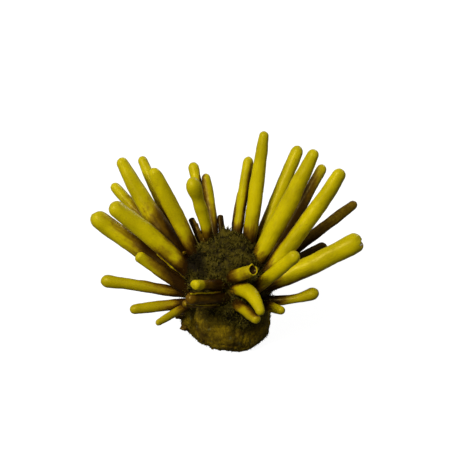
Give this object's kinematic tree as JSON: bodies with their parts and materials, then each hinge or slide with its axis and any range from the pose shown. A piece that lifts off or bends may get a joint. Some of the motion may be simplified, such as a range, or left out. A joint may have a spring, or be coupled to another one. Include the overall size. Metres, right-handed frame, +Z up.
{
  "type": "finger coral",
  "caption": "Finger coral colony: smooth tapering fingers fan out of a rounded stump that is cut flat below, a natural ornament for a shelf, a tank or a display.",
  "frame": {"origin": "centre of the flat cut that the colony rests on", "axes": "+Z up and square to the flat cut; +X to the right and -Y towards the viewer with the short front fingers nearest, so the tall fingers stand at +Y"},
  "size_m": [0.1547, 0.1194, 0.1159],
  "materials": {
    "finger_yellow": "satin",
    "finger_brown": "satin",
    "holdfast_rock": "matte",
    "turf_algae": "matte"
  },
  "bodies": {
    "root": {"holdfast": "holdfast_rock", "turf": "turf_algae", "left_long": "finger_yellow", "left_broad": "finger_yellow", "left_under": "finger_yellow", "left_rise": "finger_yellow", "left_tall": "finger_yellow", "left_behind": "finger_yellow", "left_slim": "finger_yellow", "knob": "finger_yellow", "back_left": "finger_yellow", "back_short": "finger_yellow", "back_high": "finger_yellow", "back_slim": "finger_yellow", "back_mid": "finger_yellow", "stub_mid": "finger_yellow", "stub_left": "finger_yellow", "right_big": "finger_yellow", "right_spread": "finger_yellow", "right_row": "finger_yellow", "right_wide": "finger_yellow", "right_front": "finger_yellow", "right_shade": "finger_brown", "right_back": "finger_yellow", "right_dark": "finger_brown", "front_bend": "finger_yellow", "front_low": "finger_yellow", "front_broken": "finger_yellow", "front_left": "finger_brown", "front_left_low": "finger_brown", "front_left_under": "finger_yellow", "low_left": "finger_yellow", "low_left_short": "finger_yellow", "low_left_stub": "finger_yellow", "low_right": "finger_yellow", "low_right_stub": "finger_yellow", "rear_right": "finger_yellow", "rear_centre": "finger_yellow", "rear_left": "finger_yellow", "rear_side_left": "finger_yellow", "rear_side_right": "finger_yellow", "rear_high_left": "finger_yellow", "rear_high_right": "finger_yellow", "rear_low_left": "finger_yellow", "rear_low_centre": "finger_yellow", "rear_low_right": "finger_yellow"}
  },
  "joints": []
}
